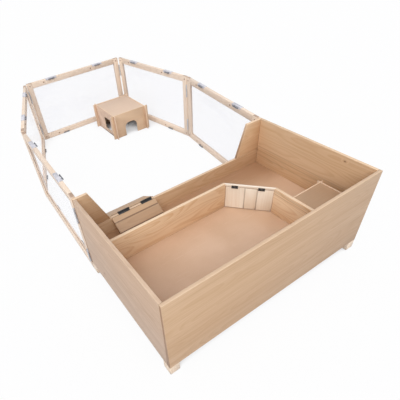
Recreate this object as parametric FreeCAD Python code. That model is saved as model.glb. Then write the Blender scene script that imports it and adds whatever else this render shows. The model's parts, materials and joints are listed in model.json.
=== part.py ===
import FreeCAD, Part
import math
import os

os.makedirs("parts", exist_ok=True)

Vector = FreeCAD.Vector

# All sizes are in millimetres and all angles in degrees.
# While it is drawn, X runs from the box's left face, Y from its front face and Z from the ground.

# Box walls, floor and feet
box_length = 1150.0
box_width = 712.0
wall_height = 412.0
wall_thickness = 15.0
low_wall_height = 224.0
left_upright_top = 72.0
left_upright_base = 150.0
right_upright_top = 115.0
right_upright_base = 181.0
floor_height = 138.0
floor_thickness = 12.0
foot_side = 48.0
foot_height = 52.0

# Dividers standing on the floor
divider_height = 146.0
divider_thickness = 15.0
rear_corridor_width = 192.0
right_corridor_width = 266.0
flap_run = 152.0
flap_depth = 180.0

# Slanted rail between the divider ends and the flap boards under it
flap_rail_height = 12.0
flap_thickness = 9.5
flap_side_gap = 3.0
flap_top_gap = 2.0
flap_floor_gap = 4.0
flap_first_board = 94.0
flap_second_board = 60.0
flap_hinge_left_inset = 46.0
flap_hinge_right_inset = 60.0

# Ramp boards on both sides of the low rear wall
ramp_side_gap = 5.0
ramp_width = 252.0
ramp_slope = 30.0
ramp_thickness = 10.0
ramp_wall_gap = 0.4
ramp_upper_plank = 34.0
ramp_lower_plank = 58.0
ramp_outer_depth = 128.0
ramp_pin_height = 8.0
ramp_hinge_left_inset = 72.0
ramp_hinge_right_inset = 48.0
saddle_width = 12.0
saddle_web_width = 5.0

# Pen panels
panel_length = 811.0
frame_width = 40.0
frame_thickness = 20.0
pane_thickness = 3.0
pane_groove = 6.0
pane_play = 0.3
first_left_heading = 88.6
second_left_heading = 71.9
first_right_heading = 82.1
pen_hinge_inset = 100.0
top_plate_length = 90.0
top_plate_width = 20.0
top_plate_thickness = 1.5
top_plate_inset = 200.0

# Hinges: barrel and pin radii, and the leaf plates
flap_hinge_length = 32.0
flap_barrel_radius = 2.5
flap_pin_radius = 1.2
flap_leaf_width = 8.0
flap_leaf_thickness = 1.2
ramp_hinge_length = 62.0
ramp_barrel_radius = 4.0
ramp_pin_radius = 1.8
ramp_leaf_width = 14.0
ramp_leaf_thickness = 1.5
ramp_leaf_drop = 1.8
pen_hinge_length = 90.0
pen_barrel_radius = 4.0
pen_pin_radius = 1.8
pen_leaf_width = 22.0
pen_leaf_thickness = 1.5
pen_end_gap = 2.6

# Fits
running_gap = 0.3
pin_clearance = 0.05
board_seam = 0.3
slot_clearance = 0.15
roof_recess = 3.0

# Large hide house in the pen
large_house_length = 340.0
large_house_depth = 372.0
large_house_height = 192.0
large_house_board = 7.0
large_house_tab = 26.0
large_house_corner_x = 186.0
large_house_corner_y = 277.0
large_door_width = 110.0
large_door_height = 106.0
large_door_radius = 40.0
large_window_width = 108.0
large_window_height = 98.0
large_window_sill = 32.0
large_window_offset = -26.0

# Small hide house in the box
small_house_left_gap = 8.0
small_house_right_gap = 25.0
small_house_front_gap = 4.0
small_house_depth = 228.0
small_house_height = 118.0
small_house_board = 5.0
small_house_tab = 16.0
small_door_width = 82.0
small_door_height = 70.0
small_door_radius = 28.0
small_window_width = 62.0
small_window_height = 46.0
small_window_sill = 28.0
small_window_offset = 0.0

# Levels and faces that several pieces share
wall_base = foot_height
wall_top = wall_base + wall_height
floor_top = wall_base + floor_height
divider_top = floor_top + divider_height
low_wall_top = wall_base + low_wall_height
inner_left = wall_thickness
inner_right = box_length - wall_thickness
inner_front = wall_thickness
inner_rear = box_width - wall_thickness
long_divider_rear = inner_rear - rear_corridor_width
long_divider_front = long_divider_rear - divider_thickness
short_divider_right = inner_right - right_corridor_width
short_divider_left = short_divider_right - divider_thickness
long_divider_end = short_divider_left - flap_run
short_divider_end = long_divider_front - flap_depth
panel_height = wall_top

nodes = {}


def block(x0, x1, y0, y1, z0, z1):
    """Straight block between two corners."""
    return Part.makeBox(x1 - x0, y1 - y0, z1 - z0, Vector(x0, y0, z0))


def prism(corners, travel):
    """Flat outline carried along a straight line."""
    outline = Part.makePolygon(corners + [corners[0]])
    return Part.Face(outline).extrude(travel)


def placed(shape, origin, x_axis, y_axis):
    """Copy of a shape drawn in its own frame, set down with its X and Y along the given directions."""
    turn = FreeCAD.Rotation(x_axis, y_axis, x_axis.cross(y_axis), "XYZ")
    moved = shape.copy()
    moved.Placement = FreeCAD.Placement(origin, turn).multiply(moved.Placement)
    return moved


class Hinge:
    """Sizes of one kind of hinge; leaf_drop is how far the board's face lies from the pin axis."""

    def __init__(self, length, knuckles, barrel_radius, pin_radius, leaf_width, leaf_thickness, leaf_drop):
        self.length = length
        self.knuckles = knuckles
        self.barrel_radius = barrel_radius
        self.pin_radius = pin_radius
        self.leaf_width = leaf_width
        self.leaf_thickness = leaf_thickness
        self.leaf_drop = leaf_drop

    def span(self, index):
        """Lower and upper end of one knuckle along the pin."""
        pitch = self.length / self.knuckles
        low = index * pitch - self.length / 2
        return low + running_gap / 2, low + pitch - running_gap / 2

    def bored(self, shape, radius):
        """Shape with the pin hole drilled through it."""
        drill = Part.makeCylinder(radius, self.length, Vector(0, 0, -self.length / 2))
        return shape.cut(drill).removeSplitter()

    def knuckle(self, index):
        """Barrel section of one knuckle."""
        low, high = self.span(index)
        return Part.makeCylinder(self.barrel_radius, high - low, Vector(0, 0, low))

    def leaf(self, indexes, bore_radius):
        """Leaf with its pin along Z and its plate along X, lying on a face below the pin."""
        clear = self.barrel_radius + running_gap
        bottom = -self.leaf_drop
        top = bottom + self.leaf_thickness
        shape = block(clear, self.leaf_width, bottom, top, -self.length / 2, self.length / 2)
        for index in indexes:
            low, high = self.span(index)
            shape = shape.fuse(block(0, clear, bottom, top, low, high))
            shape = shape.fuse(self.knuckle(index))
        return self.bored(shape, bore_radius)

    def fixed_leaf(self, indexes):
        """Leaf that grips the pin."""
        return self.leaf(indexes, self.pin_radius)

    def turning_leaf(self, indexes):
        """Leaf that turns on the pin."""
        return self.leaf(indexes, self.pin_radius + pin_clearance)

    def pin(self):
        """Pin along Z through all the knuckles."""
        return Part.makeCylinder(self.pin_radius, self.length, Vector(0, 0, -self.length / 2))


# A butt hinge carries its end knuckles on one leaf; a ramp hinge carries its middle one on the saddle
butt_knuckles = 3
outer_knuckles = (0, 2)
middle_knuckle = (1,)
ramp_knuckles = 5
inner_ramp_knuckles = (0, 4)
outer_ramp_knuckles = (1, 3)
saddle_knuckle = 2
flap_hinge = Hinge(flap_hinge_length, butt_knuckles, flap_barrel_radius, flap_pin_radius,
                   flap_leaf_width, flap_leaf_thickness, flap_barrel_radius + running_gap)
ramp_hinge = Hinge(ramp_hinge_length, ramp_knuckles, ramp_barrel_radius, ramp_pin_radius,
                   ramp_leaf_width, ramp_leaf_thickness, ramp_leaf_drop)
pen_hinge = Hinge(pen_hinge_length, butt_knuckles, pen_barrel_radius, pen_pin_radius,
                  pen_leaf_width, pen_leaf_thickness, pen_end_gap)
box_hinge_parts = []

# Box walls: the front and rear boards cover the ends of the side walls
nodes["front_wall"] = [block(0, box_length, 0, inner_front, wall_base, wall_top)]
nodes["left_wall"] = [block(0, inner_left, inner_front, inner_rear, wall_base, wall_top)]
nodes["right_wall"] = [block(inner_right, box_length, inner_front, inner_rear, wall_base, wall_top)]
nodes["rear_low_wall"] = [block(0, box_length, inner_rear, box_width, wall_base, low_wall_top)]

# Rear uprights stand on the low wall, each with a slanted inner edge
through_rear_wall = Vector(0, wall_thickness, 0)
nodes["rear_left_upright"] = [prism([
    Vector(0, inner_rear, low_wall_top),
    Vector(left_upright_base, inner_rear, low_wall_top),
    Vector(left_upright_top, inner_rear, wall_top),
    Vector(0, inner_rear, wall_top)], through_rear_wall)]
nodes["rear_right_upright"] = [prism([
    Vector(box_length - right_upright_base, inner_rear, low_wall_top),
    Vector(box_length, inner_rear, low_wall_top),
    Vector(box_length, inner_rear, wall_top),
    Vector(box_length - right_upright_top, inner_rear, wall_top)], through_rear_wall)]

# Floor panel between the walls and square feet under the corners
nodes["floor_panel"] = [block(inner_left, inner_right, inner_front, inner_rear,
                              floor_top - floor_thickness, floor_top)]
nodes["feet"] = [block(x, x + foot_side, y, y + foot_side, 0, foot_height)
                 for x in (0, box_length - foot_side) for y in (0, box_width - foot_side)]

# Dividers: one from the left wall, one from the front wall
nodes["long_divider"] = [block(inner_left, long_divider_end, long_divider_front, long_divider_rear,
                               floor_top, divider_top)]
nodes["short_divider"] = [block(short_divider_left, short_divider_right, inner_front, short_divider_end,
                                floor_top, divider_top)]

# Flap line: from the long divider's front corner to the short divider's left corner
flap_start = Vector(long_divider_end, long_divider_front, 0)
flap_finish = Vector(short_divider_left, short_divider_end, 0)
flap_span = flap_finish.sub(flap_start).Length
flap_along = flap_finish.sub(flap_start).normalize()
flap_front = Vector(flap_along.y, -flap_along.x, 0)
up = Vector(0, 0, 1)

# Rail with ends cut to lie flat on the ends of both dividers
rail_bottom = divider_top - flap_rail_height
at_rail_bottom = Vector(0, 0, rail_bottom)
rail_outline = [
    flap_start,
    flap_finish,
    flap_finish.add(Vector(-flap_thickness / flap_front.x, 0, 0)),
    flap_start.add(Vector(0, -flap_thickness / flap_front.y, 0))]
nodes["flap_rail"] = [prism([corner.add(at_rail_bottom) for corner in rail_outline],
                            Vector(0, 0, flap_rail_height))]

# Flap boards, edge to edge, drawn along X with their front face on Y = 0
board_top = rail_bottom - flap_top_gap
board_bottom = floor_top + flap_floor_gap
first_seam = flap_side_gap + flap_first_board
second_seam = first_seam + flap_second_board
board_edges = [
    (flap_side_gap, first_seam - board_seam / 2),
    (first_seam + board_seam / 2, second_seam - board_seam / 2),
    (second_seam + board_seam / 2, flap_span - flap_side_gap)]
nodes["flap_boards"] = [
    placed(block(left, right, 0, flap_thickness, board_bottom, board_top),
           flap_start, flap_along, flap_front.negative())
    for left, right in board_edges]

# Flap hinges on the front faces of the rail and the boards
flap_pin_level = rail_bottom - flap_top_gap / 2
flap_pin_line = flap_start.add(flap_front * flap_hinge.leaf_drop)
flap_pin_line.z = flap_pin_level
flap_leaves = []
for distance in (flap_hinge_left_inset, flap_span - flap_hinge_right_inset):
    middle = flap_pin_line.add(flap_along * distance)
    box_hinge_parts.append(placed(flap_hinge.fixed_leaf(outer_knuckles), middle, up, flap_front))
    box_hinge_parts.append(placed(flap_hinge.pin(), middle, up, flap_front))
    flap_leaves.append(placed(flap_hinge.turning_leaf(middle_knuckle), middle, up.negative(), flap_front))
nodes["flap_hinge_leaves"] = flap_leaves

# Ramp boards slope down from the low wall's top on both sides
ramp_left = left_upright_base + ramp_side_gap
ramp_pin_y = box_width - wall_thickness / 2
ramp_pin_z = low_wall_top + ramp_pin_height
slope_sine = math.sin(math.radians(ramp_slope))
slope_cosine = math.cos(math.radians(ramp_slope))
across_ramp = Vector(ramp_width, 0, 0)


def ramp_board(side, near, far, square_near):
    """Ramp board between two distances down the slope from the wall; side is -1 inside, 1 outside."""
    face = inner_rear if side < 0 else box_width

    def corner(distance, depth):
        away = ramp_wall_gap + distance * slope_cosine - depth * slope_sine
        pin_to_wall = wall_thickness / 2 + ramp_wall_gap
        top = ramp_pin_z - (pin_to_wall * slope_sine + ramp_leaf_drop) / slope_cosine
        return Vector(ramp_left, face + side * away, top - distance * slope_sine - depth * slope_cosine)

    lower_near = near if square_near else near + ramp_thickness * slope_sine / slope_cosine
    return prism([corner(near, 0), corner(far, 0), corner(far, ramp_thickness),
                  corner(lower_near, ramp_thickness)], across_ramp)


inner_depth = ramp_upper_plank + ramp_lower_plank
nodes["ramp_inner_upper_plank"] = [ramp_board(-1, 0, ramp_upper_plank - board_seam / 2, False)]
nodes["ramp_inner_lower_plank"] = [ramp_board(-1, ramp_upper_plank + board_seam / 2, inner_depth, True)]
nodes["ramp_outer_board"] = [ramp_board(1, 0, ramp_outer_depth, False)]

# Ramp hinges: a saddle on the wall's top holds the pin, one leaf turns on each side of it
ramp_saddle = block(-saddle_width / 2, saddle_width / 2, -ramp_pin_height,
                    ramp_leaf_thickness - ramp_pin_height, -ramp_hinge.length / 2, ramp_hinge.length / 2)
web_low, web_high = ramp_hinge.span(saddle_knuckle)
ramp_saddle = ramp_saddle.fuse(block(-saddle_web_width / 2, saddle_web_width / 2, -ramp_pin_height, 0,
                                     web_low, web_high))
ramp_saddle = ramp_hinge.bored(ramp_saddle.fuse(ramp_hinge.knuckle(saddle_knuckle)), ramp_pin_radius)
inner_leaves = []
outer_leaves = []
toward_box = Vector(0, -slope_cosine, -slope_sine)
toward_pen = Vector(0, slope_cosine, -slope_sine)
above_inner = Vector(0, -slope_sine, slope_cosine)
above_outer = Vector(0, slope_sine, slope_cosine)
for distance in (ramp_hinge_left_inset, ramp_width - ramp_hinge_right_inset):
    middle = Vector(ramp_left + distance, ramp_pin_y, ramp_pin_z)
    box_hinge_parts.append(placed(ramp_saddle, middle, Vector(0, 1, 0), up))
    box_hinge_parts.append(placed(ramp_hinge.pin(), middle, Vector(0, 1, 0), up))
    inner_leaves.append(placed(ramp_hinge.turning_leaf(inner_ramp_knuckles), middle, toward_box, above_inner))
    outer_leaves.append(placed(ramp_hinge.turning_leaf(outer_ramp_knuckles), middle, toward_pen, above_outer))
nodes["ramp_inner_hinge_leaves"] = inner_leaves
nodes["ramp_outer_hinge_leaves"] = outer_leaves

# Pen layout: pins at the box corners lie outside the panels, all other pins inside the pen
pin_standoff = pen_barrel_radius + running_gap
pin_offset = frame_thickness / 2 + pin_standoff
pin_spacing = panel_length + 2 * pen_end_gap
hinge_levels = (pen_hinge_inset, panel_height - pen_hinge_inset)
LEFT = 1
RIGHT = -1


def direction(heading):
    """Level direction at an angle from +X."""
    return Vector(math.cos(math.radians(heading)), math.sin(math.radians(heading)), 0)


def far_pin(pin, heading, start_side, end_side):
    """Pin line at a panel's far end, from the pin line at its near end."""
    shift = (end_side - start_side) * pin_offset
    return pin.add(direction(heading) * pin_spacing).add(direction(heading + 90) * shift)


def heading_between(start, finish):
    """Heading of the line from one pin line to another."""
    return math.degrees(math.atan2(finish.y - start.y, finish.x - start.x))


pin_left_box = Vector(-pin_standoff, box_width + pen_end_gap, 0)
pin_right_box = Vector(box_length + pin_standoff, box_width + pen_end_gap, 0)
pin_left_first = far_pin(pin_left_box, first_left_heading, LEFT, RIGHT)
pin_left_second = far_pin(pin_left_first, second_left_heading, RIGHT, RIGHT)
pin_right_first = far_pin(pin_right_box, first_right_heading, RIGHT, LEFT)

# The last two panels meet at the far corner, one panel length from each of their near pins
across_gap = pin_right_first.sub(pin_left_second)
half_gap_span = across_gap.Length / 2
corner_rise = math.sqrt(pin_spacing ** 2 - half_gap_span ** 2)
away_from_box = Vector(-across_gap.y, across_gap.x, 0).normalize()
pin_far_corner = pin_left_second.add(across_gap * 0.5).add(away_from_box * corner_rise)
third_left_heading = heading_between(pin_left_second, pin_far_corner)
second_right_heading = heading_between(pin_right_first, pin_far_corner)


def pen_frame(middle):
    """Frame members and pane of one panel, drawn along X with the mid plane at Y = middle."""
    low_face, high_face = middle - frame_thickness / 2, middle + frame_thickness / 2
    low_pane, high_pane = middle - pane_thickness / 2, middle + pane_thickness / 2
    near, far = pen_end_gap, pen_end_gap + panel_length
    rail_near, rail_far = near + frame_width, far - frame_width
    sill, head = frame_width, panel_height - frame_width
    groove = block(rail_near - pane_groove, rail_far + pane_groove, low_pane, high_pane,
                   sill - pane_groove, head + pane_groove)
    members = {
        "near_stile": block(near, rail_near, low_face, high_face, 0, panel_height),
        "far_stile": block(rail_far, far, low_face, high_face, 0, panel_height),
        "bottom_rail": block(rail_near, rail_far, low_face, high_face, 0, sill),
        "top_rail": block(rail_near, rail_far, low_face, high_face, head, panel_height)}
    pieces = {name: [member.cut(groove)] for name, member in members.items()}
    pieces["pane"] = [block(rail_near - pane_groove + pane_play, rail_far + pane_groove - pane_play,
                            low_pane, high_pane, sill - pane_groove, head + pane_groove - pane_play)]
    return pieces


def top_plates(middle):
    """Two flat plates on the top rail."""
    centres = (pen_end_gap + top_plate_inset, pen_end_gap + panel_length - top_plate_inset)
    return [block(centre - top_plate_length / 2, centre + top_plate_length / 2,
                  middle - top_plate_width / 2, middle + top_plate_width / 2,
                  panel_height, panel_height + top_plate_thickness) for centre in centres]


def pen_panel(name, pin, heading, start_side, end_side, end_leaf, end_pins):
    """One pen panel standing on the ground, hung on the pin line at its near end."""
    middle = -start_side * pin_offset
    pieces = pen_frame(middle)
    fittings = top_plates(middle)
    for level in hinge_levels:
        start = Vector(0, 0, level)
        finish = Vector(pin_spacing, middle + end_side * pin_offset, level)
        fittings.append(placed(pen_hinge.turning_leaf(middle_knuckle), start,
                               Vector(0, -start_side, 0), Vector(-1, 0, 0)))
        fittings.append(placed(end_leaf, finish, Vector(0, -end_side, 0), Vector(1, 0, 0)))
        if end_pins:
            fittings.append(placed(pen_hinge.pin(), finish, Vector(0, -end_side, 0), Vector(1, 0, 0)))
    pieces["fittings"] = fittings
    for piece, shapes in pieces.items():
        nodes[name + "_" + piece] = [placed(shape, pin, direction(heading), direction(heading + 90))
                                     for shape in shapes]


carrying_leaf = pen_hinge.fixed_leaf(outer_knuckles)
hanging_leaf = pen_hinge.turning_leaf(middle_knuckle)
pen_panel("pen_left_first", pin_left_box, first_left_heading, LEFT, RIGHT, carrying_leaf, True)
pen_panel("pen_left_second", pin_left_first, second_left_heading, RIGHT, RIGHT, carrying_leaf, True)
pen_panel("pen_left_third", pin_left_second, third_left_heading, RIGHT, RIGHT, carrying_leaf, False)
pen_panel("pen_right_first", pin_right_box, first_right_heading, RIGHT, LEFT, carrying_leaf, True)
pen_panel("pen_right_second", pin_right_first, second_right_heading, LEFT, LEFT, hanging_leaf, False)

# Hinge leaves and pins on the box's rear corners
for pin, inward in ((pin_left_box, Vector(1, 0, 0)), (pin_right_box, Vector(-1, 0, 0))):
    for level in hinge_levels:
        middle = pin.add(Vector(0, 0, level))
        box_hinge_parts.append(placed(carrying_leaf, middle, inward, Vector(0, 1, 0)))
        box_hinge_parts.append(placed(pen_hinge.pin(), middle, inward, Vector(0, 1, 0)))
nodes["box_hinge_leaves"] = box_hinge_parts


class House:
    """Sizes of a hide house with four slotted walls and a roof set between them."""

    def __init__(self, length, depth, height, board, tab):
        self.length = length
        self.depth = depth
        self.height = height
        self.board = board
        self.tab = tab
        self.wall_x = length / 2 - tab
        self.wall_y = depth / 2 - tab

    def cross_wall(self, y):
        """Wall along X with slots open at the top for the walls along Y."""
        half = self.board / 2
        wall = block(-self.length / 2, self.length / 2, y - half, y + half, 0, self.height)
        return self.slotted(wall, self.height / 2, self.height,
                            [(x, y) for x in (-self.wall_x, self.wall_x)])

    def side_wall(self, x):
        """Wall along Y with slots open at the bottom for the walls along X."""
        half = self.board / 2
        wall = block(x - half, x + half, -self.depth / 2, self.depth / 2, 0, self.height)
        return self.slotted(wall, 0, self.height / 2,
                            [(x, y) for y in (-self.wall_y, self.wall_y)])

    def slotted(self, wall, low, high, crossings):
        """Wall with an upright slot where each crossing wall passes through."""
        half = self.board / 2 + slot_clearance
        for x, y in crossings:
            wall = wall.cut(block(x - half, x + half, y - half, y + half, low, high))
        return wall

    def roof(self):
        """Flat roof between the inner faces of the walls."""
        half_x = self.wall_x - self.board / 2
        half_y = self.wall_y - self.board / 2
        top = self.height - roof_recess
        return block(-half_x, half_x, -half_y, half_y, top - self.board, top)

    def doorway(self, y, width, height, radius):
        """Cutter for a doorway with rounded upper corners through a wall along X."""
        half = width / 2
        deep = self.board
        cutter = block(-half, half, y - deep, y + deep, 0, height - radius)
        cutter = cutter.fuse(block(radius - half, half - radius, y - deep, y + deep, 0, height))
        for x in (radius - half, half - radius):
            middle = Vector(x, y - deep, height - radius)
            cutter = cutter.fuse(Part.makeCylinder(radius, 2 * deep, middle, Vector(0, 1, 0)))
        return cutter.removeSplitter()

    def window(self, x, offset, width, height, sill):
        """Cutter for a square window through a wall along Y."""
        deep = self.board
        return block(x - deep, x + deep, offset - width / 2, offset + width / 2, sill, sill + height)

    def add_nodes(self, name, centre, walls):
        """Set the walls and the roof down at their place."""
        pieces = dict(walls)
        pieces["roof"] = self.roof()
        for piece, shape in pieces.items():
            nodes[name + "_" + piece] = [placed(shape, centre, Vector(1, 0, 0), Vector(0, 1, 0))]


# Large hide house: doorway towards the box, window on the left
large = House(large_house_length, large_house_depth, large_house_height, large_house_board, large_house_tab)
large_centre = pin_far_corner.sub(Vector(large_house_corner_x, large_house_corner_y, 0))
large_door = large.doorway(-large.wall_y, large_door_width, large_door_height, large_door_radius)
large_window = large.window(-large.wall_x, large_window_offset, large_window_width, large_window_height,
                            large_window_sill)
large.add_nodes("large_house", large_centre, {
    "front_wall": large.cross_wall(-large.wall_y).cut(large_door),
    "rear_wall": large.cross_wall(large.wall_y),
    "left_wall": large.side_wall(-large.wall_x).cut(large_window),
    "right_wall": large.side_wall(large.wall_x)})

# Small hide house: fills the front end of the right-hand corridor, doorway towards the rear
small_left = short_divider_right + small_house_left_gap
small_right = inner_right - small_house_right_gap
small = House(small_right - small_left, small_house_depth, small_house_height, small_house_board,
              small_house_tab)
small_centre = Vector((small_left + small_right) / 2,
                      inner_front + small_house_front_gap + small_house_depth / 2, floor_top)
small_door = small.doorway(small.wall_y, small_door_width, small_door_height, small_door_radius)
small_window = small.window(-small.wall_x, small_window_offset, small_window_width, small_window_height,
                            small_window_sill)
small.add_nodes("small_house", small_centre, {
    "front_wall": small.cross_wall(-small.wall_y),
    "rear_wall": small.cross_wall(small.wall_y).cut(small_door),
    "left_wall": small.side_wall(-small.wall_x).cut(small_window),
    "right_wall": small.side_wall(small.wall_x)})

# The origin is the middle of the whole footprint, on the ground
everything = Part.makeCompound([shape for shapes in nodes.values() for shape in shapes])
limits = everything.optimalBoundingBox(False, False)
to_origin = Vector(-limits.Center.x, -limits.Center.y, 0)

for node_name, shapes in nodes.items():
    moved = [placed(shape, to_origin, Vector(1, 0, 0), Vector(0, 1, 0)) for shape in shapes]
    piece = moved[0] if len(moved) == 1 else Part.makeCompound(moved)
    piece.exportStep("parts/" + node_name + ".step")
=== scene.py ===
import json
import math

import bpy
from mathutils import Matrix, Vector


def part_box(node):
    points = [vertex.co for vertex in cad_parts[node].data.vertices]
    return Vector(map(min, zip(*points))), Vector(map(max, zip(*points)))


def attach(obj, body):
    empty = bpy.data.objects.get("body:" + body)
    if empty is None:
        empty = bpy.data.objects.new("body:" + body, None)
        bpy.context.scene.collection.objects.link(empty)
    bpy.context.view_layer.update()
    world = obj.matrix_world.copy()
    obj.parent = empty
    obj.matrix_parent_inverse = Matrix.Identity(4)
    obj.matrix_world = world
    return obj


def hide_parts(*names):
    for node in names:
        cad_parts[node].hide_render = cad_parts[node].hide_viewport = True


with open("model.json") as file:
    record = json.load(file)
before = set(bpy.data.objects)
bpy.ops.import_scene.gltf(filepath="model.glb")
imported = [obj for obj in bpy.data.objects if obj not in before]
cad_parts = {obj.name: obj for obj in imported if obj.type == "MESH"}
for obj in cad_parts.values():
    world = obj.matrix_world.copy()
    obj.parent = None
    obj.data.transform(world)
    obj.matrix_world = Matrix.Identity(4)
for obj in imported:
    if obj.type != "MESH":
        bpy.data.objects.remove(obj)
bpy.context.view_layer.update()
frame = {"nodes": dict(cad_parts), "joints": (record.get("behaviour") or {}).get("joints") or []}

# Box walls: pine staves glued edge to edge into 15 mm boards and wiped with a satin lacquer. The front
# and rear boards are screwed over the ends of the side walls, and sanding has eased every edge.


class Wire:
    """One value in a shader; sums and products of wires add Math nodes."""

    def __init__(self, surface, socket):
        self.surface = surface
        self.socket = socket

    def math(self, operation, *values):
        return self.surface.add("Math", {"operation": operation}, dict(enumerate(values)))

    def __add__(self, other):
        return self.math("ADD", self, other)

    def __mul__(self, other):
        return self.math("MULTIPLY", self, other)

    def __sub__(self, other):
        return self.math("SUBTRACT", self, other)

    def __rsub__(self, other):
        return self.math("SUBTRACT", other, self)

    def __truediv__(self, other):
        return self.math("DIVIDE", self, other)

    __radd__ = __add__
    __rmul__ = __mul__

    def __abs__(self):
        return self.math("ABSOLUTE", self)

    def larger(self, other):
        return self.math("MAXIMUM", self, other)

    def floor(self):
        return self.math("FLOOR", self)

    def fraction(self):
        return self.math("FRACT", self)

    def root(self):
        return self.math("SQRT", self)

    def step(self, low, high):
        """Smooth rise from 0 at low to 1 at high; it falls where low is the larger."""
        sockets = {0: self, 1: low, 2: high}
        return self.surface.add("MapRange", {"interpolation_type": "SMOOTHSTEP"}, sockets)

    def parts(self):
        """The three numbers of a vector."""
        return [self.surface.add("SeparateXYZ", {}, {0: self}, output) for output in range(3)]


class Surface:
    """A material or a sky round one shader; add() puts in any node and gives one of its outputs."""

    def __init__(self, name, kind="materials", shader="Principled BSDF"):
        self.material = getattr(bpy.data, kind).new(name)
        self.material.use_nodes = True
        self.tree = self.material.node_tree
        self.shader = self.tree.nodes[shader]

    def feed(self, socket, value):
        if isinstance(value, Wire):
            self.tree.links.new(value.socket, socket)
        else:
            socket.default_value = value

    def add(self, kind, settings=None, sockets=None, output=0):
        node = self.tree.nodes.new("ShaderNode" + kind)
        for setting, value in (settings or {}).items():
            setattr(node, setting, value)
        for socket, value in (sockets or {}).items():
            self.feed(node.inputs[socket], value)
        return Wire(self, node.outputs[output])

    def read(self, coordinates):
        """Where a point lies or how it faces, by the name of the coordinates."""
        return self.add("TexCoord", {}, {}, coordinates)

    def noise(self, axes, scales, detail):
        """Noise stretched to its own scale along each of three axes, in patches per metre."""
        stretched = {index: axis * scale for index, (axis, scale) in enumerate(zip(axes, scales))}
        place = self.add("CombineXYZ", {}, stretched)
        return self.add("TexNoise", {}, {"Vector": place, "Scale": 1.0, "Detail": detail})

    def speckle(self, axes, scale, detail):
        """Noise of one scale along all three axes."""
        return self.noise(axes, (scale, scale, scale), detail)

    def mix(self, amount, first, second):
        settings = {"data_type": "RGBA", "clamp_factor": True}
        return self.add("Mix", settings, {0: amount, 6: first, 7: second}, 2)

    def bump(self, height, strength, depth):
        return self.add("Bump", {}, {"Height": height, "Strength": strength, "Distance": depth})

    def finish(self, **sockets):
        """Feed the shader's sockets, named with underscores for spaces."""
        for name, value in sockets.items():
            self.feed(self.shader.inputs[name.replace("_", " ")], value)
        return self.material


def shade(red, green, blue):
    """Colour as the eye reads it, 0 to 255, turned into the shader's linear scale."""
    linear = []
    for value in (red, green, blue):
        part = value / 255
        linear.append(part / 12.92 if part < 0.04045 else ((part + 0.055) / 1.055) ** 2.4)
    return (*linear, 1.0)


def board_axes(surface, node, along, facing):
    """Places and facings on a board, in metres from its corner: along the grain, across it and into it."""
    turn = Matrix((along, facing.cross(along), facing))
    spots = [turn @ vertex.co for vertex in frame["nodes"][node].data.vertices]
    corner = Vector([min(spot[axis] for spot in spots) for axis in range(3)])
    size = Vector([max(spot[axis] for spot in spots) for axis in range(3)]) - corner
    lay = turn.to_euler()
    sockets = {"Vector": surface.read("Object"), "Location": -corner, "Rotation": lay}
    places = surface.add("Mapping", {}, sockets).parts()
    sockets = {"Vector": surface.read("Normal"), "Rotation": lay}
    facings = [abs(part) for part in surface.add("Mapping", {"vector_type": "VECTOR"}, sockets).parts()]
    return places, facings, size


def off_square(facings, flat, rounded):
    """Rises where a facing turns away from the board's own three directions, which is on its eased edges."""
    end, side, face = facings
    return end.larger(side).larger(face).step(flat, rounded)


glue_brown = shade(150, 112, 76)
glue_width = 0.0011
knot_ring = shade(176, 126, 78)
knot_heart = shade(118, 76, 44)
knot_stretch = 1.7
rings_per_metre = 95.0
end_grain = shade(142, 102, 76)
layer_pale = shade(238, 212, 178)
layer_glue = shade(160, 116, 76)
seam_and_shade_brown = shade(104, 70, 44)
seam_width = (0.0045, 0.0015)
painted_top_light = shade(250, 226, 200)
painted_edge_highlight = shade(246, 224, 194)
painted_edge_shadow = shade(116, 82, 56)


def glued_strips(surface, v, stave, seed):
    """Strips glued side by side: a chance number for each, their glue lines, and places across a strip."""
    strip = v / stave + 0.37 * seed
    chance = surface.add("TexWhiteNoise", {"noise_dimensions": "1D"}, {"W": strip.floor() + seed})
    from_middle = strip.fraction() - 0.5
    glue_line = abs(from_middle).step(0.5 - glue_width / stave, 0.5)
    return chance, glue_line, from_middle * stave


def knot_distances(u, v, knots):
    """Distance from each knot in sizes of that knot, which is longer along the grain."""
    distances = []
    for knot_u, knot_v, knot_size in knots:
        gap_u = (u - knot_u) / (knot_stretch * knot_size)
        gap_v = (v - knot_v) / knot_size
        distances.append((gap_u * gap_u + gap_v * gap_v).root())
    return distances


def year_rings(surface, axes, across, distances):
    """Broad bands, and the late wood of rings about a heart below the face; they swerve round knots."""
    swirl = sum((distance.step(4.0, 0.0) * 1.6 for distance in distances), 0.0)
    bands = surface.noise(axes, (1.1, 24.0, 24.0), 3.0)
    below = surface.noise(axes, (1.5, 3.0, 3.0), 2.0) * 0.16 - 0.05
    heart = (across * across + below * below).root()
    rings = (heart * rings_per_metre + bands * 1.6 + swirl).fraction()
    return bands, rings.step(0.35, 0.92) - rings.step(0.93, 1.0)


def layered_edge(surface, colour, layers, face):
    """Plywood's rim: pale layers with a darker glue line between each two."""
    from_middle = abs(layers.fraction() - 0.5)
    rim = face.step(0.6, 0.3)
    colour = surface.mix(rim * 0.55, colour, layer_pale)
    return surface.mix(rim * from_middle.step(0.30, 0.47) * 0.5, colour, layer_glue)


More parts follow.
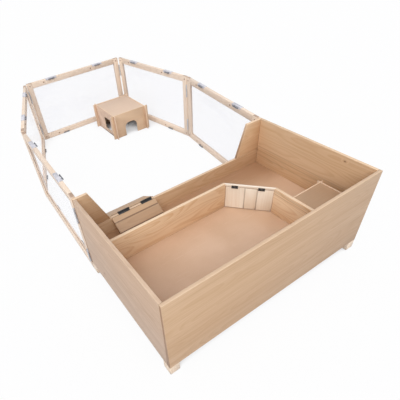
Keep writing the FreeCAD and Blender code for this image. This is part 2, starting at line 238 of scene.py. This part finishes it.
def wood(node, along, facing, pale, deep, seed, stave=0.0, plies=0, knots=(), satin=0.5, ripple=0.4,
         top_light=0.0, seam_and_shade_mark=0.0, seams=(), figure=0.25):
    """Planed wood with its grain along one axis; staves are glued strips, plies are layers at the edges,
    top light is how strongly a painted highlight lightens the upward faces, the seam mark how dark the lines
    at the seams are, which stand at parts of the board's width and are painted shadow on the ramp, and
    figure how strongly the year rings show."""
    surface = Surface(node + "_wood")
    (u, v, w), facings, size = board_axes(surface, node, along, facing)
    end, _, face = facings
    grain_u = u + 3.7 * seed
    grain_v = v + 1.9 * seed
    across = v - size.y / 2
    tone = 0.0
    if stave:
        chance, glue_line, across = glued_strips(surface, v, stave, seed)
        grain_u = grain_u + chance * 9.0
        grain_v = grain_v + chance * 0.83
        tone = chance * 0.30 - 0.15
    axes = (grain_u, grain_v, w)
    distances = knot_distances(u, v, knots)
    bands, late = year_rings(surface, axes, across, distances)
    streaks = surface.noise(axes, (4.5, 150.0, 150.0), 3.0)
    fibres = surface.noise(axes, (30.0, 1100.0, 1100.0), 2.0)
    depth = bands.step(0.2, 0.8) * 0.34 + streaks.step(0.3, 0.7) * 0.16
    depth = depth + late * figure + fibres * 0.2 + tone
    colour = surface.mix(depth, pale, deep)
    if stave:
        colour = surface.mix(glue_line * 0.30, colour, glue_brown)
    for distance in distances:
        colour = surface.mix(distance.step(2.6, 1.0) * 0.35, colour, knot_ring)
        colour = surface.mix(distance.step(1.1, 0.75) * 0.8, colour, knot_heart)
    if plies:
        colour = layered_edge(surface, colour, w / size.z * plies, face)
    else:
        colour = surface.mix(end.step(0.6, 0.95) * (0.40 + streaks * 0.5), colour, end_grain)
    # Dark lines at the seams: dark joints on most boards, and painted shadow along the ramp's plank edges.
    for seam in seams:
        near_seam = abs(v - seam * size.y).step(*seam_width)
        colour = surface.mix(near_seam * seam_and_shade_mark, colour, seam_and_shade_brown)
    rise = surface.read("Normal").parts()[2]
    # Painted highlight: faces turned upwards are lightened, as if lit from above.
    if top_light:
        colour = surface.mix(rise.step(0.6, 0.9) * top_light, colour, painted_top_light)
    eased = off_square(facings, 0.985, 0.86)
    # Painted highlight on eased edges that face up or sideways, and painted shadow on those that face down.
    colour = surface.mix(eased * rise.step(-0.2, 0.2) * 0.25, colour, painted_edge_highlight)
    colour = surface.mix(eased * rise.step(-0.2, -0.4) * 0.60, colour, painted_edge_shadow)
    height = fibres * 0.6 + late * 0.25 + streaks * 0.5
    return surface.finish(
        Base_Color=colour, Roughness=satin + streaks * 0.18 - eased * 0.06 - 0.06,
        Normal=surface.bump(height, ripple, 0.0005), Specular_IOR_Level=0.4)


def dressed(node, body, material, ease, rounds=3):
    """Copy of a drawn solid with its triangles merged into clean faces and its edges eased."""
    bpy.ops.object.select_all(action="DESELECT")
    piece = bpy.data.objects.new(node + "_piece", frame["nodes"][node].data.copy())
    bpy.context.scene.collection.objects.link(piece)
    piece.select_set(True)
    bpy.context.view_layer.objects.active = piece
    bpy.ops.object.mode_set(mode="EDIT")
    bpy.ops.mesh.select_all(action="SELECT")
    bpy.ops.mesh.remove_doubles(threshold=0.00001)
    bpy.ops.mesh.dissolve_limited(angle_limit=math.radians(1.0))
    bpy.ops.object.mode_set(mode="OBJECT")
    easing = piece.modifiers.new("eased_edges", "BEVEL")
    easing.width = ease
    easing.segments = rounds
    easing.limit_method = "ANGLE"
    easing.angle_limit = math.radians(40)
    easing.harden_normals = True
    bpy.ops.object.modifier_apply(modifier=easing.name)
    bpy.ops.object.shade_smooth_by_angle(angle=math.radians(40))
    piece.data.materials.clear()
    piece.data.materials.append(material)
    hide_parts(node)
    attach(piece, body)
    return piece


RIGHT = Vector((1, 0, 0))
REAR = Vector((0, 1, 0))
UP = Vector((0, 0, 1))
wall_stave = 0.098
wall_ease = 0.0022
# Amounts of painted highlight on upward faces.
plain_top_light = 0.28
plain_figure = 0.32
streak_mark = 0.2
# Painted light: the right wall and rear uprights take these lighter colours, standing for the lamp on their
# faces inside the box.
lit_inner_pale = shade(226, 193, 156)
lit_inner_deep = shade(203, 163, 121)
# The left wall's pinker, cooler colours are painted light, for cool light falling from the left.
wall_shades = {"front_wall": (shade(211, 178, 143), shade(185, 145, 105)),
               "rear_low_wall": (shade(213, 181, 147), shade(187, 148, 109)),
               "left_wall": (shade(215, 186, 160), shade(189, 156, 127)),
               "right_wall": (lit_inner_pale, lit_inner_deep)}
wall_knots = {"right_wall": ((0.150, 0.386, 0.0034),), "left_wall": ((0.52, 0.07, 0.004),)}
wall_figure = {"front_wall": 0.20}
wall_top_light = {"left_wall": 0.12}
wall_streaks = {"right_wall": (0.47, 0.54, 0.60)}
wall_lay = {"front_wall": (RIGHT, -REAR), "rear_low_wall": (RIGHT, -REAR), "left_wall": (REAR, RIGHT),
            "right_wall": (REAR, RIGHT)}
for number, (node, (along, facing)) in enumerate(wall_lay.items()):
    pale, deep = wall_shades[node]
    material = wood(node, along, facing, pale, deep, 1.3 * number + 0.4, wall_stave,
                    knots=wall_knots.get(node, ()), top_light=wall_top_light.get(node, plain_top_light),
                    seam_and_shade_mark=streak_mark, seams=wall_streaks.get(node, ()),
                    figure=wall_figure.get(node, plain_figure))
    dressed(node, "box", material, wall_ease)

# Rear uprights: offcuts of the same glued board, each sawn to a slant along its inner edge. They stand on
# the ends of the low rear wall; their lighter colours are painted light, and a painted highlight lightens
# their sawn tops.
upright_top_light = 0.4
for number, node in enumerate(("rear_left_upright", "rear_right_upright")):
    material = wood(node, RIGHT, -REAR, lit_inner_pale, lit_inner_deep, 7.1 + 1.7 * number, wall_stave,
                    top_light=upright_top_light)
    dressed(node, "box", material, wall_ease)

# Feet: four square blocks of pale spruce, paler than the walls, with their grain upright. They are glued
# and screwed under the corners of the box.
feet_ease = 0.003
material = wood("feet", UP, -REAR, shade(240, 222, 200), shade(222, 196, 168), 2.9)
dressed("feet", "box", material, feet_ease)

# Floor: a thin sanded fibreboard with a matt face, let in between the walls. It is paler where it has been
# rubbed, and a painted shade darkens it towards the low rear wall, behind the dividers.
floor = Surface("floor_panel_board")
u, v, w = board_axes(floor, "floor_panel", RIGHT, UP)[0]
mottle = floor.speckle((u, v, w), 5.0, 4.0)
felt = floor.speckle((u, v, w), 420.0, 3.0)
scuffs = floor.noise((u + v * 0.4, v, w), (9.0, 170.0, 40.0), 3.0)
colour = floor.mix(mottle.step(0.3, 0.7), shade(206, 172, 142), shade(216, 184, 156))
# Painted shade: the floor darkens towards the low rear wall.
colour = floor.mix(v.step(0.42, 0.60) * 0.7, colour, shade(168, 126, 90))
colour = floor.mix(felt.step(0.35, 0.7) * 0.30, colour, shade(188, 150, 120))
colour = floor.mix(scuffs.step(0.60, 0.74) * 0.18, colour, shade(232, 208, 184))
floor.finish(Base_Color=colour, Roughness=0.42 + mottle * 0.12,
             Normal=floor.bump(felt + scuffs * 0.4, 0.25, 0.0004))
floor_ease = 0.0008
dressed("floor_panel", "box", floor.material, floor_ease)

# Dividers: 15 mm plywood faced with strips of pine, its layers showing along the top edge. They stand on
# the floor, the long one against the left wall and the short one against the front wall.
# Painted light: the dividers' colours are lighter than the walls', standing for the lamp on their faces.
divider_lit_pale = shade(248, 221, 188)
divider_lit_deep = shade(225, 185, 142)
divider_strip = 0.075
divider_layers = 5
divider_ease = 0.001
divider_streaks = {"short_divider": (0.80, 0.88, 0.93)}
divider_lay = {"long_divider": (RIGHT, REAR), "short_divider": (REAR, RIGHT)}
for number, (node, (along, facing)) in enumerate(divider_lay.items()):
    material = wood(node, along, facing, divider_lit_pale, divider_lit_deep, 11.3 + number, divider_strip,
                    plies=divider_layers, top_light=0.3, figure=0.45, seam_and_shade_mark=0.25,
                    seams=divider_streaks.get(node, ()))
    dressed(node, "box", material, divider_ease)

# Flap: a thin rail spans the slanted gap between the dividers, fixed to both of their ends. Three bare pine
# boards, edge to edge, hang below it on two small hinges.
flap_joint = next(joint for joint in frame["joints"] if joint["name"] == "flap_swing")
flap_along = -Vector(flap_joint["axis"]).normalized()
flap_front = flap_along.cross(UP)
# Painted light: the flap's very pale colours stand for the lamp falling on the boards' faces.
flap_lit_pale = shade(249, 239, 223)
flap_lit_deep = shade(236, 219, 197)
flap_seams = (0.329, 0.591)
flap_rail_ease = 0.0008
swinging_ease = 0.0012
material = wood("flap_rail", flap_along, flap_front, flap_lit_pale, flap_lit_deep, 15.2)
dressed("flap_rail", "box", material, flap_rail_ease)
material = wood("flap_boards", UP, flap_front, flap_lit_pale, flap_lit_deep, 16.1, seam_and_shade_mark=0.4, seams=flap_seams)
dressed("flap_boards", "flap", material, swinging_ease)

# Ramp: two planks on the box side and one board on the pen side, cut from thin plywood. Their colours are
# darkened as painted shade, the lower plank most, and painted shadow darkens the long edges of each plank.
# They slope down from hinges that stand on the low rear wall's top edge.
ramp_slope = math.radians(30)
ramp_top_inner = Vector((0, -math.sin(ramp_slope), math.cos(ramp_slope)))
ramp_top_outer = Vector((0, math.sin(ramp_slope), math.cos(ramp_slope)))
ramp_layers = 3
ramp_shade_pale = shade(202, 168, 134)
ramp_shade_deep = shade(180, 145, 111)
lower_plank_shade_pale = shade(188, 154, 122)
lower_plank_shade_deep = shade(166, 131, 99)
# Painted shadow along both long edges of each plank, at the seam and under the lower edge.
ramp_shaded_edges = (0.0, 1.0)
ramp_lay = {"ramp_inner_upper_plank": ("ramp_inner", ramp_top_inner, ramp_shade_pale, ramp_shade_deep),
            "ramp_inner_lower_plank": ("ramp_inner", ramp_top_inner, lower_plank_shade_pale, lower_plank_shade_deep),
            "ramp_outer_board": ("ramp_outer", ramp_top_outer, ramp_shade_pale, ramp_shade_deep)}
for number, (node, (body, facing, pale, deep)) in enumerate(ramp_lay.items()):
    material = wood(node, RIGHT, facing, pale, deep, 19.4 + 2.3 * number, plies=ramp_layers,
                    seam_and_shade_mark=0.85, seams=ramp_shaded_edges)
    dressed(node, body, material, swinging_ease)

# Hinges in the box: pressed steel leaves rolled round a pin, with a black baked paint worn thin at the
# edges. They are screwed to the flap, to its rail and to the ramp boards.
leaf_ease = 0.0003
leaf_rounds = 2


def hinge_paint(node):
    surface = Surface(node + "_paint")
    places, facings = board_axes(surface, node, RIGHT, UP)[:2]
    peel = surface.speckle(places, 900.0, 2.0)
    wear = surface.speckle(places, 260.0, 3.0)
    worn = off_square(facings, 0.96, 0.7) * wear.step(0.5, 0.66)
    colour = surface.mix(peel, shade(26, 26, 28), shade(44, 43, 45))
    colour = surface.mix(worn * 0.5, colour, shade(120, 116, 112))
    return surface.finish(Base_Color=colour, Metallic=worn * 0.6, Roughness=0.42 + wear * 0.2,
                          Normal=surface.bump(peel, 0.2, 0.0002))


black_hinges = {"box_hinge_leaves": "box", "flap_hinge_leaves": "flap",
                "ramp_inner_hinge_leaves": "ramp_inner", "ramp_outer_hinge_leaves": "ramp_outer"}
for node, body in black_hinges.items():
    dressed(node, body, hinge_paint(node), leaf_ease, leaf_rounds)

# Pen frames: planed pale battens of softwood, two stiles and two rails to each panel. They are butted and
# screwed at the corners, and grooved inside for the pane.
pen_panels = ("pen_left_first", "pen_left_second", "pen_left_third", "pen_right_first", "pen_right_second")
batten_pale = shade(243, 225, 206)
batten_deep = shade(225, 200, 175)
batten_ease = 0.0016


def middle(node):
    low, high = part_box(node)
    return (low + high) / 2


def panel_along(panel):
    return (middle(panel + "_far_stile") - middle(panel + "_near_stile")).normalized()


for number, panel in enumerate(pen_panels):
    along = panel_along(panel)
    facing = along.cross(UP)
    grains = {"near_stile": UP, "far_stile": UP, "bottom_rail": along, "top_rail": along}
    for offset, (member, grain) in enumerate(grains.items()):
        node = panel + "_" + member
        material = wood(node, grain, facing, batten_pale, batten_deep, 23.0 + 4.7 * number + 1.1 * offset)
        dressed(node, panel, material, batten_ease)

# Panes: clear cast sheet with a cool tint and faint wipe marks, held loose in the grooves of the frames.
# The drawn sheets are kept, and only their finish is made here.
pane = Surface("pane_clear_sheet")
places = pane.read("Object").parts()
wipe = pane.noise(places, (2.4, 2.4, 7.0), 3.0)
dust = pane.speckle(places, 300.0, 2.0)
colour = pane.mix(wipe, shade(230, 232, 253), shade(242, 243, 255))
pane.finish(Base_Color=colour, Roughness=0.04 + wipe.step(0.45, 0.75) * 0.05,
            Alpha=0.07 + wipe.step(0.4, 0.7) * 0.05 + dust.step(0.68, 0.8) * 0.05, Specular_IOR_Level=0.5)
for panel in pen_panels:
    node = frame["nodes"][panel + "_pane"]
    node.data.materials.clear()
    node.data.materials.append(pane.material)

# Pen fittings: brushed zinc-plated steel butt hinges, screwed to the edges of the stiles and to the rear
# corners of the box, and flat plates of milky plastic that lie on the top rails.
steel_polish = 0.4
face_gap = 0.0002
plate_gap = 0.0001


def brushed_steel(node, along):
    surface = Surface(node + "_steel")
    places, facings = board_axes(surface, node, along, along.cross(UP))[:2]
    lines = surface.noise(places, (60.0, 2400.0, 2400.0), 2.0)
    cloud = surface.speckle(places, 30.0, 3.0)
    colour = surface.mix(lines, shade(188, 190, 195), shade(214, 216, 220))
    colour = surface.mix(cloud.step(0.4, 0.7) * 0.4, colour, shade(160, 162, 168))
    colour = surface.mix(off_square(facings, 0.97, 0.8) * 0.4, colour, shade(224, 226, 230))
    return surface.finish(Base_Color=colour, Metallic=steel_polish, Roughness=0.34 + lines * 0.16,
                          Normal=surface.bump(lines, 0.12, 0.0002))


corner_hinges = bpy.data.objects["box_hinge_leaves_piece"]
corner_hinges.data.materials.append(brushed_steel("box_hinge_leaves", RIGHT))
box_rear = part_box("rear_low_wall")[1].y
box_left, box_right = (corner.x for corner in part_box("rear_low_wall"))
box_middle = (box_left + box_right) / 2
box_half_length = (box_right - box_left) / 2
for polygon in corner_hinges.data.polygons:
    beside_box = abs(polygon.center.x - box_middle) > box_half_length
    behind_box = polygon.center.y > box_rear - face_gap
    polygon.material_index = 1 if beside_box or behind_box else 0

clip_plastic = Surface("clip_milky_plastic")
places = clip_plastic.read("Object").parts()
cloud = clip_plastic.speckle(places, 60.0, 3.0)
grit = clip_plastic.speckle(places, 1400.0, 2.0)
colour = clip_plastic.mix(cloud.step(0.3, 0.7), shade(196, 195, 202), shade(224, 222, 226))
colour = clip_plastic.mix(grit.step(0.55, 0.75) * 0.25, colour, shade(156, 154, 162))
clip_plastic.finish(Base_Color=colour, Roughness=0.30 + cloud * 0.2,
                    Normal=clip_plastic.bump(grit, 0.15, 0.0002))

rail_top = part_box("pen_left_first_top_rail")[1].z
for panel in pen_panels:
    node = panel + "_fittings"
    steel = brushed_steel(node, panel_along(panel))
    fittings = dressed(node, panel, steel, leaf_ease, leaf_rounds)
    fittings.data.materials.append(clip_plastic.material)
    for polygon in fittings.data.polygons:
        polygon.material_index = 1 if polygon.center.z > rail_top - plate_gap else 0

# Pane clips: the milky plates on the top rails fold down over both faces, and on the pen side of each rail
# a short dark spring bar presses the pane; bottom rails carry only the bars. Each bar sits on two studs.
batten_width = 0.040
batten_thickness = 0.020
panel_length = 0.811
clip_length = 0.090
clip_drop = 0.011
clip_sheet = 0.0014
clip_inset = 0.200
bar_length = 0.052
bar_height = 0.006
bar_depth = 0.005
bar_standoff = 0.004
bar_below_top = 0.006
bar_above_ground = 0.007
stud_width = 0.006
stud_step = 0.3 * bar_length
pen_middle = sum((middle(panel + "_pane") for panel in pen_panels), Vector()) / len(pen_panels)


def panel_frame(panel):
    """Place and directions of a panel, from the middle of its lower edge: X along, Y into the pen, Z up."""
    spot = (middle(panel + "_near_stile") + middle(panel + "_far_stile")) / 2
    inward = UP.cross(panel_along(panel))
    if inward.dot(pen_middle - spot) < 0:
        inward = -inward
    spot.z = 0
    return Matrix.Translation(spot) @ Matrix((inward.cross(UP), inward, UP)).transposed().to_4x4()


def edit_front(model):
    """Open a model for editing with its front faces, towards Y, selected."""
    for polygon in model.data.polygons:
        polygon.select = polygon.normal.y > 0.9
    bpy.ops.object.mode_set(mode="EDIT")
    bpy.ops.mesh.select_mode(type="FACE")


def small_block(name, size, ease):
    """Block about the origin with a stepped-in front face and eased edges, the model for small fittings."""
    bpy.ops.object.select_all(action="DESELECT")
    bpy.ops.mesh.primitive_cube_add(size=1, scale=size)
    model = bpy.context.object
    model.name = name
    bpy.ops.object.transform_apply(location=False, rotation=False, scale=True)
    edit_front(model)
    bpy.ops.mesh.inset(thickness=min(size) * 0.35, depth=min(size) * -0.12)
    bpy.ops.object.mode_set(mode="OBJECT")
    easing = model.modifiers.new("eased_edges", "BEVEL")
    easing.width = ease
    easing.segments = 2
    bpy.ops.object.modifier_apply(modifier=easing.name)
    bpy.ops.object.shade_smooth_by_angle(angle=math.radians(40))
    return model


def placed_copies(name, model, places, body, material):
    """One piece made of copies of a model, each set down by its own matrix."""
    copies = []
    for place in places:
        copy = bpy.data.objects.new(name, model.data.copy())
        bpy.context.scene.collection.objects.link(copy)
        copy.data.transform(place)
        copies.append(copy)
    bpy.ops.object.select_all(action="DESELECT")
    for copy in copies:
        copy.select_set(True)
    bpy.context.view_layer.objects.active = copies[0]
    bpy.ops.object.join()
    piece = copies[0]
    piece.name = name
    piece.data.materials.clear()
    piece.data.materials.append(material)
    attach(piece, body)


dark_spring = Surface("clip_dark_spring")
rub = dark_spring.speckle(dark_spring.read("Object").parts(), 220.0, 3.0)
colour = dark_spring.mix(rub.step(0.35, 0.7), shade(108, 110, 116), shade(150, 152, 160))
dark_spring.finish(Base_Color=colour, Metallic=0.5, Roughness=0.38 + rub * 0.2,
                   Normal=dark_spring.bump(rub, 0.2, 0.0002))

flange_model = small_block("clip_flange_model", (clip_length, clip_sheet, clip_drop), 0.0003)
bar_model = small_block("clip_bar_model", (bar_length, bar_depth, bar_height), 0.0008)
stud_model = small_block("clip_stud_model", (stud_width, bar_standoff, stud_width), 0.0004)
clip_centres = (clip_inset - panel_length / 2, panel_length / 2 - clip_inset)
face_out = batten_thickness / 2
bar_levels = (rail_top - bar_below_top, bar_above_ground)
for panel in pen_panels:
    place = panel_frame(panel)
    flanges = []
    bars = []
    studs = []
    for centre in clip_centres:
        for side in (-1, 1):
            spot = Vector((centre, side * (face_out + clip_sheet / 2), rail_top - clip_drop / 2))
            turn = Matrix.Rotation(0 if side > 0 else math.pi, 4, "Z")
            flanges.append(place @ Matrix.Translation(spot) @ turn)
        for level in bar_levels:
            under = clip_sheet if level > batten_width else 0
            spot = Vector((centre, face_out + under + bar_standoff + bar_depth / 2, level))
            bars.append(place @ Matrix.Translation(spot))
            for step in (-stud_step, stud_step):
                spot = Vector((centre + step, face_out + under + bar_standoff / 2, level))
                studs.append(place @ Matrix.Translation(spot))
    placed_copies(panel + "_clip_flanges", flange_model, flanges, panel,
                  clip_plastic.material)
    placed_copies(panel + "_clip_bars", bar_model, bars, panel, dark_spring.material)
    placed_copies(panel + "_clip_studs", stud_model, studs, panel, dark_spring.material)
for model in (flange_model, bar_model, stud_model):
    bpy.data.objects.remove(model)

# Frame screws: bronze coloured round heads with a pressed-in drive. They hold the corners of each pen frame
# and stand beside its clips, on the pen side.
screw_radius = 0.0042
screw_height = 0.0016
screw_sink = 0.0004
clip_screw_step = 0.065
clip_screw_inset = 0.018
bpy.ops.object.select_all(action="DESELECT")
bpy.ops.mesh.primitive_cylinder_add(vertices=20, radius=screw_radius, depth=screw_height,
                                    rotation=(math.radians(-90), 0, 0))
screw_model = bpy.context.object
bpy.ops.object.transform_apply(location=False, rotation=True, scale=False)
edit_front(screw_model)
bpy.ops.mesh.inset(thickness=screw_radius * 0.30, depth=screw_height * 0.35)
bpy.ops.mesh.inset(thickness=screw_radius * 0.30)
bpy.ops.mesh.inset(thickness=screw_radius * 0.06, depth=screw_height * -0.6)
bpy.ops.object.mode_set(mode="OBJECT")
bpy.ops.object.shade_smooth_by_angle(angle=math.radians(50))

bronze = Surface("screw_bronze_plating")
tarnish = bronze.speckle(bronze.read("Object").parts(), 500.0, 3.0)
colour = bronze.mix(tarnish.step(0.35, 0.7), shade(150, 96, 56), shade(112, 70, 42))
bronze.finish(Base_Color=colour, Metallic=0.55, Roughness=0.36 + tarnish * 0.25,
              Normal=bronze.bump(tarnish, 0.2, 0.0002))

corner_x = panel_length / 2 - batten_width / 2
corner_levels = (batten_width / 2, rail_top - batten_width / 2)
clip_screw_levels = (clip_screw_inset, rail_top - clip_screw_inset)
screw_spots = [(side * corner_x, level) for side in (-1, 1) for level in corner_levels]
screw_spots += [(centre + clip_screw_step, level) for centre in clip_centres for level in clip_screw_levels]
screw_out = face_out + screw_height / 2 - screw_sink
for panel in pen_panels:
    place = panel_frame(panel)
    places = [place @ Matrix.Translation((x, screw_out, level)) for x, level in screw_spots]
    placed_copies(panel + "_frame_screws", screw_model, places, panel, bronze.material)

# Hinge screws: small black steel pan heads, of the same make as the frame screws but smaller. Two hold down
# each leaf of a flap hinge, and three each leaf of a ramp hinge.
leaf_screw_sink = 0.0002
black_screws = Surface("hinge_screw_black")
rub = black_screws.speckle(black_screws.read("Object").parts(), 700.0, 2.0)
colour = black_screws.mix(rub.step(0.45, 0.75), shade(34, 34, 36), shade(86, 84, 82))
black_screws.finish(Base_Color=colour, Metallic=0.3, Roughness=0.35 + rub * 0.2)


def screws_on_leaf(spot, along, outward, scale, spread):
    """Places for a row of screws on a hinge leaf: spot is in the middle of its face, outward leaves it."""
    row = spot + outward * (screw_height * scale / 2 - leaf_screw_sink)
    turn = Matrix((outward.cross(along), outward, along)).transposed().to_4x4()
    return [Matrix.Translation(row + along * step) @ turn @ Matrix.Scale(scale, 4) for step in spread]


flap_run = 0.152
flap_depth = 0.180
flap_left_inset = 0.046
flap_right_inset = 0.060
flap_leaf_sheet = 0.0012
flap_leaf_drop = 0.0028
flap_leaf_reach = 0.0054
flap_screw_scale = 0.42
flap_spread = (-0.010, 0.010)
flap_pin = Vector(flap_joint["pos_m"])
flap_leaf_face = flap_front * (flap_leaf_sheet - flap_leaf_drop)
flap_screws = {"box": [], "flap": []}
for step in (flap_left_inset, math.hypot(flap_run, flap_depth) - flap_right_inset):
    for body, away in (("box", UP), ("flap", -UP)):
        spot = flap_pin + flap_along * step + away * flap_leaf_reach + flap_leaf_face
        flap_screws[body] += screws_on_leaf(spot, flap_along, flap_front, flap_screw_scale, flap_spread)
for name, body in (("flap_rail_screws", "box"), ("flap_board_screws", "flap")):
    placed_copies(name, screw_model, flap_screws[body], body, black_screws.material)

ramp_width = 0.252
ramp_left_inset = 0.072
ramp_right_inset = 0.048
ramp_leaf_sheet = 0.0015
ramp_leaf_drop = 0.0018
ramp_leaf_reach = 0.0092
ramp_screw_scale = 0.6
ramp_spread = (-0.022, 0.0, 0.022)
ramp_joint = next(joint for joint in frame["joints"] if joint["name"] == "ramp_inner_lift")
ramp_pin = Vector(ramp_joint["pos_m"])
for body, facing, side in (("ramp_inner", ramp_top_inner, -1), ("ramp_outer", ramp_top_outer, 1)):
    down = Vector((0, side * math.cos(ramp_slope), -math.sin(ramp_slope)))
    leaf_face = down * ramp_leaf_reach + facing * (ramp_leaf_sheet - ramp_leaf_drop)
    places = []
    for step in (ramp_left_inset, ramp_width - ramp_right_inset):
        spot = ramp_pin + RIGHT * step + leaf_face
        places += screws_on_leaf(spot, RIGHT, facing, ramp_screw_scale, ramp_spread)
    placed_copies(body + "_hinge_screws", screw_model, places, body, black_screws.material)
bpy.data.objects.remove(screw_model)

# Hide houses: thin smooth board cut to slot together at the corners, with the roof let in between the
# walls. Nothing fixes them: the large one stands in the pen and the small one in a corner of the box.
house_pale = shade(218, 188, 160)
house_deep = shade(206, 172, 142)
house_layers = 3
house_ease = 0.0006
# Painted light: the large house's left wall is paler and cooler, for cool light from the left, and its front
# wall deeper and warmer; the small house's roof is much darker as painted shade.
house_shades = {"large_house_front_wall": (shade(213, 182, 150), shade(201, 166, 132)),
                "large_house_left_wall": (shade(218, 190, 167), shade(207, 175, 150)),
                "large_house_roof": (shade(217, 192, 170), shade(211, 184, 160)),
                "small_house_roof": (shade(183, 151, 121), shade(175, 142, 112))}
# Amounts of painted highlight on the houses' upward faces; the roofs get none.
house_top_light = {"large_house": 0.15, "small_house": 0.35}
house_lay = {"front_wall": (RIGHT, -REAR), "rear_wall": (RIGHT, -REAR), "left_wall": (REAR, RIGHT),
             "right_wall": (REAR, RIGHT), "roof": (RIGHT, UP)}
for house_number, house in enumerate(("large_house", "small_house")):
    for number, (member, (along, facing)) in enumerate(house_lay.items()):
        node = house + "_" + member
        pale, deep = house_shades.get(node, (house_pale, house_deep))
        top_light = 0.0 if member == "roof" else house_top_light[house]
        material = wood(node, along, facing, pale, deep, 51.0 + 6.1 * house_number + number,
                        plies=house_layers, satin=0.62, ripple=0.2, top_light=top_light, figure=0.1)
        dressed(node, house, material, house_ease)

# Studio: a plain pale floor that runs out to white and stays darker where the object shelters it, turning
# to a painted brown shade where it is closed in, a sky that dims to its edge and is white to the eye, and a
# broad soft lamp high over the front left.
white = (1, 1, 1, 1)
ground_pale = (0.80, 0.80, 0.82, 1)
ground_painted_shade = shade(146, 116, 92)
ground_size = 60
ground_gap = 0.0006
shelter_reach = 0.4
sky_cool = (0.97, 0.985, 1.05, 1)
lamp_energy = 1.85
lamp_spread = math.radians(60)
lamp_place = (-2, -2.4, 4)
lamp_direction = Vector((0.44, 0.52, -0.92))


def seen_by_eye(surface):
    """1 for what is looked at, straight, in a gloss or through a sheet, and 0 for light on the object."""
    kinds = ("Is Camera Ray", "Is Glossy Ray", "Is Transmission Ray")
    camera_ray, glossy_ray, clear_ray = (surface.add("LightPath", {}, {}, kind) for kind in kinds)
    return camera_ray.larger(glossy_ray).larger(clear_ray)


bpy.ops.object.select_all(action="DESELECT")
bpy.ops.mesh.primitive_plane_add(size=ground_size, location=(0, 0, -ground_gap))
ground = bpy.context.object
ground.name = "studio_floor"
studio = Surface("studio_floor_white")
openness = studio.add("AmbientOcclusion", {"samples": 32}, {"Distance": shelter_reach}, "AO")
reached = openness.step(0.03, 0.07)
share = seen_by_eye(studio) * (reached * 0.45 + openness.step(0.25, 0.50) * 0.48)
# Painted shade: the floor turns brown where little light reaches it, as inside a house.
colour = studio.mix(reached, ground_painted_shade, ground_pale)
studio.finish(Base_Color=colour, Roughness=0.9, Specular_IOR_Level=0.1)
glow = studio.add("Emission", {}, {"Color": white, "Strength": 1.0})
matt = Wire(studio, studio.shader.outputs[0])
shown = studio.add("MixShader", {}, {0: share, 1: matt, 2: glow})
studio.feed(studio.tree.nodes["Material Output"].inputs["Surface"], shown)
ground.data.materials.append(studio.material)

sky = Surface("studio_sky", "worlds", "Background")
seen = seen_by_eye(sky)
level = sky.read("Generated").parts()[2].step(-0.2, 1.0) * 0.40 + 0.32
sky.finish(Color=sky.mix(seen, sky_cool, white), Strength=level + seen * (1.0 - level))
bpy.context.scene.world = sky.material

bpy.ops.object.light_add(type="SUN", location=lamp_place)
lamp = bpy.context.object
lamp.name = "broad_lamp"
lamp.data.energy = lamp_energy
lamp.data.angle = lamp_spread
lamp.rotation_euler = lamp_direction.to_track_quat("-Z", "Y").to_euler()

# Camera: above the box's front left corner, looking over it to the pen. Its lens is shifted a little off
# centre, as the photograph's perspective is; lengths in the picture are in pixels.
picture_width = 400
focal_length = 344.23
picture_centre = (162.7, 231.4)
eye = Vector((-0.90375, -1.73206, 1.35343))
camera_right = Vector((0.826048, -0.557682, -0.081465))
camera_up = Vector((0.431483, 0.532776, 0.727992))
camera_data = bpy.data.cameras.new("view_from_above")
camera = bpy.data.objects.new("view_from_above", camera_data)
bpy.context.scene.collection.objects.link(camera)
camera_turn = Matrix((camera_right, camera_up, camera_right.cross(camera_up))).transposed().to_4x4()
camera.matrix_world = Matrix.Translation(eye) @ camera_turn
camera_data.sensor_width = 36
camera_data.lens = focal_length / picture_width * camera_data.sensor_width
camera_data.shift_x = 0.5 - (picture_centre[0] + 0.5) / picture_width
camera_data.shift_y = (picture_centre[1] + 0.5) / picture_width - 0.5
bpy.context.scene.camera = camera

bpy.context.scene.view_settings.view_transform = "Standard"
